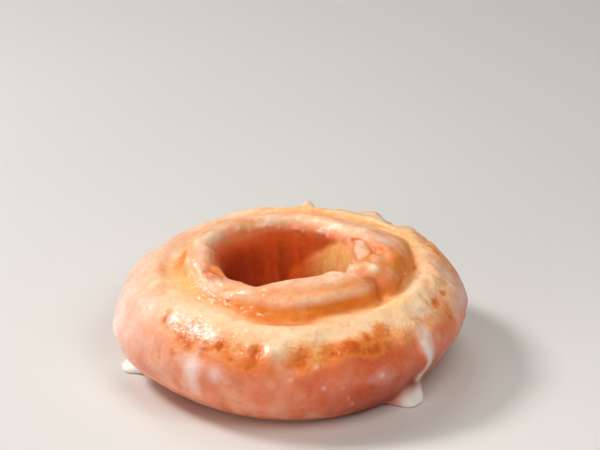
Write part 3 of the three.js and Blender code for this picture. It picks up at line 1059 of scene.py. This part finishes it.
def glazed_dough():
    material = bpy.data.materials.new("glazed_dough")
    material.use_nodes = True
    n = Nodes(material)
    shader = n.tree.nodes["Principled BSDF"]
    where = n.add("ShaderNodeTexCoord").outputs["Object"]
    tone_of = n.attribute("tone", "Color")
    brown_of = n.attribute("brown")
    veil_and_glints_of = n.attribute("veil_and_glints")
    grain_of = n.attribute("grain")
    gloss_of = n.attribute("gloss")

    # Mottling of the fried crust: blotches, then fine specks
    broad = n.noise(where, scale=170.0, detail=3.0, roughness=0.55)
    blotch = n.noise(where, scale=380.0, detail=4.0, roughness=0.6)
    fine = n.noise(where, scale=1100.0, detail=3.0, roughness=0.6)
    lighter = n.mix(1.0, tone_of, LIGHTER, "MULTIPLY")
    darker = n.mix(1.0, tone_of, DARKER, "MULTIPLY")
    paler = n.mix(n.stretch(broad, 0.48, 0.66, 0.0, 0.75), tone_of, lighter)
    mottled = n.mix(n.stretch(blotch, 0.50, 0.70, 0.0, 0.65), paler, darker)
    specks = n.mix(n.stretch(fine, 0.54, 0.70, 0.0, 0.35), mottled, darker)

    # Browned patches, ragged at two scales
    ragged = n.math("ADD", n.math("MULTIPLY", blotch, 0.6), n.math("MULTIPLY", fine, 0.4))
    reach = n.math("ADD", ragged, n.math("MULTIPLY", brown_of, 0.5))
    gate = n.stretch(brown_of, 0.02, 0.38, 0.0, 1.0)
    amber = n.math("MULTIPLY", n.stretch(reach, 0.58, 0.76, 0.0, 0.9), gate)
    toasted = n.math("MULTIPLY", n.stretch(reach, 0.80, 0.98, 0.0, 0.8), gate)
    browned = n.mix(toasted, n.mix(amber, specks, AMBER_CRUST), TOASTED_CRUST)

    # The glaze, whiter where it lies thick, with white grains painted in as glints where it is
    # wettest
    grain_noise = n.noise(where, scale=1250.0, detail=1.0, roughness=0.5)
    glint_share = n.stretch(grain_of, 0.4, 0.9, 0.0, 1.0)
    # Painted glints: white grains over the wettest, grainiest glaze
    painted_glints = n.math("MULTIPLY", n.stretch(grain_noise, 0.46, 0.58, -0.15, 0.5), glint_share)
    patchy = n.math("ADD", n.math("ADD", veil_and_glints_of, painted_glints), n.stretch(broad, 0.3, 0.7, -0.12, 0.12))
    glazed = n.mix(n.stretch(patchy, 0.06, 0.95, 0.0, 0.95), browned, THICK_GLAZE)

    # The wet surface: long soft waves, beads, and fine grains in places
    waves = n.noise(where, scale=300.0, detail=3.0, roughness=0.55)
    beads = n.noise(where, scale=850.0, detail=2.0, roughness=0.55)
    grains = n.math("MULTIPLY", grain_noise, grain_of)
    soft = n.bump(waves, strength=0.5, distance=0.0008)
    wet = n.bump(beads, strength=0.4, distance=0.0003, normal=soft)
    rough = n.bump(grains, strength=1.0, distance=0.0006, normal=wet)

    n.feed(shader, "Base Color", glazed)
    n.feed(shader, "Roughness", n.stretch(fine, 0.3, 0.7, 0.42, 0.60))
    n.feed(shader, "Normal", rough)
    n.feed(shader, "Coat Normal", rough)
    n.feed(shader, "Coat Weight", gloss_of)
    for name, value in DOUGH_SHADER.items():
        shader.inputs[name].default_value = value
    return material


# The pale floor: its two tones, half its width and its height, just under the doughnut, in metres
FLOOR_TONES = ((0.70, 0.69, 0.67, 1.0), (0.74, 0.73, 0.71, 1.0))
FLOOR_HALF = 2.5
FLOOR_HEIGHT = -0.0002
FLOOR_ROUGHNESS = 0.75


def floor_material():
    material = bpy.data.materials.new("pale_floor")
    material.use_nodes = True
    n = Nodes(material)
    shader = n.tree.nodes["Principled BSDF"]
    where = n.add("ShaderNodeTexCoord").outputs["Object"]
    cloud = n.noise(where, scale=3.0, detail=2.0, roughness=0.5)
    shade = n.mix(n.stretch(cloud, 0.3, 0.7, 0.0, 1.0), *FLOOR_TONES)
    n.feed(shader, "Base Color", shade)
    shader.inputs["Roughness"].default_value = FLOOR_ROUGHNESS
    return material


def build_floor():
    signs = ((-1, -1), (1, -1), (1, 1), (-1, 1))
    corners = [(x * FLOOR_HALF, y * FLOOR_HALF, FLOOR_HEIGHT) for x, y in signs]
    mesh = bpy.data.meshes.new("floor")
    mesh.from_pydata(corners, [], [(0, 1, 2, 3)])
    floor = bpy.data.objects.new("floor", mesh)
    bpy.context.scene.collection.objects.link(floor)
    floor.data.materials.append(floor_material())
    return floor


# Square soft boxes that face the doughnut: name, direction, distance, size, power, colour, and
# whether each gives glints and whether it fills
LIGHTS = [
    ("key_left", (-0.66, 0.22, 0.71), 0.75, 0.18, 3.8, (1.0, 0.98, 0.95), False, True),
    ("glints_left", (-0.66, 0.22, 0.71), 0.75, 0.30, 9.0, (1.0, 0.99, 0.97), True, False),
    ("top", (-0.10, 0.60, 1.0), 0.80, 0.40, 1.3, (1.0, 0.98, 0.95), True, True),
    ("front_fill", (-0.65, -0.9, 0.20), 1.1, 0.60, 4.2, (1.0, 0.95, 0.90), False, True),
    ("near_fill", (0.48, -0.60, 1.03), 0.30, 0.16, 0.37, (1.0, 0.96, 0.91), False, True),
]
LIT_PLACE = (0.0, 0.0, 0.015)
WORLD_COLOUR = (1.0, 0.99, 0.97, 1.0)
WORLD_STRENGTH = 0.09


def add_light(name, direction, distance, size, power, colour, glints, fills):
    data = bpy.data.lights.new(name, "AREA")
    data.shape = "SQUARE"
    data.size = size
    data.energy = power
    data.color = colour
    light = bpy.data.objects.new(name, data)
    away = Vector(direction).normalized()
    light.location = away * distance + Vector(LIT_PLACE)
    light.rotation_euler = away.to_track_quat("Z", "Y").to_euler()
    light.visible_glossy = glints
    light.visible_diffuse = fills
    light.visible_transmission = fills
    bpy.context.scene.collection.objects.link(light)


def light_studio():
    for row in LIGHTS:
        add_light(*row)
    world = bpy.data.worlds.new("studio")
    world.use_nodes = True
    background = world.node_tree.nodes["Background"]
    background.inputs["Color"].default_value = WORLD_COLOUR
    background.inputs["Strength"].default_value = WORLD_STRENGTH
    bpy.context.scene.world = world


# The photograph's view, solved from the ring's ellipses. Pixels are in the 600 by 450 frame.
VIEW_ELEVATION = 25.5
VIEW_DISTANCE = 0.560
VIEW_TARGET = (0.0, 0.0, 0.013)
TARGET_PIXEL = (291.0, 307.0)
PIXELS_PER_METRE = 3910.0
FRAME_PIXELS = (600, 450)
SENSOR_MM = 36.0
CLIP_START = 0.01


def add_camera(middle):
    """Aimed past the target, so that the target lands on its pixel with no lens shift."""
    tilt = math.radians(VIEW_ELEVATION)
    back = Vector((0.0, -math.cos(tilt), math.sin(tilt)))
    up = Vector((0.0, math.sin(tilt), math.cos(tilt)))
    target = Vector(VIEW_TARGET) - middle
    across = (FRAME_PIXELS[0] / 2 - TARGET_PIXEL[0]) / PIXELS_PER_METRE
    above = (TARGET_PIXEL[1] - FRAME_PIXELS[1] / 2) / PIXELS_PER_METRE
    aim = target + Vector((across, 0.0, 0.0)) + up * above
    data = bpy.data.cameras.new("camera")
    data.sensor_width = SENSOR_MM
    data.lens = SENSOR_MM * VIEW_DISTANCE * PIXELS_PER_METRE / FRAME_PIXELS[0]
    data.clip_start = CLIP_START
    camera = bpy.data.objects.new("camera", data)
    camera.location = target + back * VIEW_DISTANCE
    camera.rotation_euler = (aim - camera.location).to_track_quat("-Z", "Y").to_euler()
    bpy.context.scene.collection.objects.link(camera)
    bpy.context.scene.camera = camera


skin = build_skin()
skin.data.materials.append(glazed_dough())
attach(skin, "root")
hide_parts("doughnut")

build_floor()
light_studio()
add_camera(Vector(solid_middle() * MM))
bpy.context.scene.view_settings.view_transform = "Standard"
